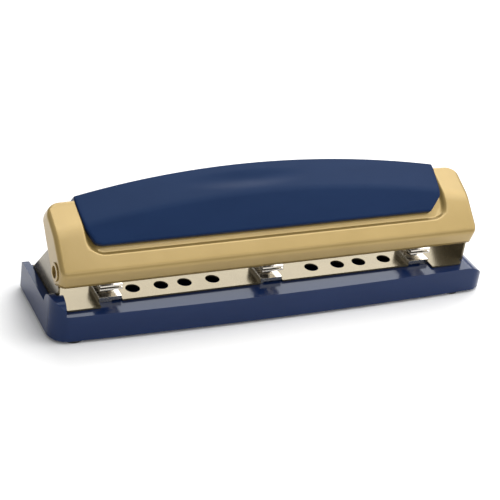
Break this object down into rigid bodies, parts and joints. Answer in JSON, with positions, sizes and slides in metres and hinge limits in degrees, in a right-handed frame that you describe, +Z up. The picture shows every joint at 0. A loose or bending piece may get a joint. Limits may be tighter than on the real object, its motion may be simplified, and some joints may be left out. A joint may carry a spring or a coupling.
{
  "type": "desktop hole punch",
  "caption": "Long desktop hole punch with a sloping lever handle, steel punch heads on a perforated plate, and a moulded chip tray beneath.",
  "frame": {"origin": "centre of the footprint on the surface it stands on", "axes": "+X along the machine to the right when facing the paper side, +Y from the paper side to the back, +Z up"},
  "size_m": [0.3045, 0.0734, 0.0845],
  "materials": {
    "navy_plastic": "satin moulded, fine texture",
    "grip_plastic": "soft satin moulded",
    "gold_paint": "satin champagne metallic coat",
    "bright_steel": "bright, rolled",
    "dark_steel": "oiled, hardened",
    "spring_steel": "drawn wire",
    "black_rubber": "matt"
  },
  "bodies": {
    "tray": {"base_tray": "navy_plastic", "tray_feet": "black_rubber", "hinge_pins": "bright_steel"},
    "frame": {"frame_plate": "gold_paint", "pivot_rivet_left": "gold_paint", "pivot_rivet_right": "gold_paint", "head_left": "bright_steel", "head_centre": "bright_steel", "head_right": "bright_steel", "head_screws": "bright_steel", "pin_spring_left": "spring_steel", "pin_spring_centre": "spring_steel", "pin_spring_right": "spring_steel"},
    "handle": {"handle_shell": "gold_paint", "handle_grip": "grip_plastic", "grip_screws": "bright_steel", "press_bar": "bright_steel", "bar_brackets": "bright_steel"},
    "pin_left": {"punch_pin_left": "dark_steel", "spring_washer_left": "dark_steel"},
    "pin_centre": {"punch_pin_centre": "dark_steel", "spring_washer_centre": "dark_steel"},
    "pin_right": {"punch_pin_right": "dark_steel", "spring_washer_right": "dark_steel"}
  },
  "joints": [
    {"name": "frame_hinge", "type": "hinge", "parent": "tray", "child": "frame", "pos_m": [0.1415, 0.013, 0.012], "axis": [0, 1, 0], "range_deg": [0, 25]},
    {"name": "handle_hinge", "type": "hinge", "parent": "frame", "child": "handle", "pos_m": [-0.005, -0.01995, 0.0437], "axis": [-1, 0, 0], "range_deg": [0, 46], "stiffness_Nm_per_rad": 0.2, "springref_deg": -34.38},
    {"name": "pin_slide_left", "type": "slide", "parent": "frame", "child": "pin_left", "axis": [0, 0, -1], "range_m": [0, 0.0058], "deforming": ["pin_spring_left"]},
    {"name": "pin_slide_centre", "type": "slide", "parent": "frame", "child": "pin_centre", "axis": [0, 0, -1], "range_m": [0, 0.0058], "deforming": ["pin_spring_centre"]},
    {"name": "pin_slide_right", "type": "slide", "parent": "frame", "child": "pin_right", "axis": [0, 0, -1], "range_m": [0, 0.0058], "deforming": ["pin_spring_right"]}
  ],
  "couplings": [
    {"joint": "pin_slide_left", "follows": "handle_hinge", "m_per_rad": 0.0071542},
    {"joint": "pin_slide_centre", "follows": "handle_hinge", "m_per_rad": 0.0071542},
    {"joint": "pin_slide_right", "follows": "handle_hinge", "m_per_rad": 0.0071542}
  ]
}
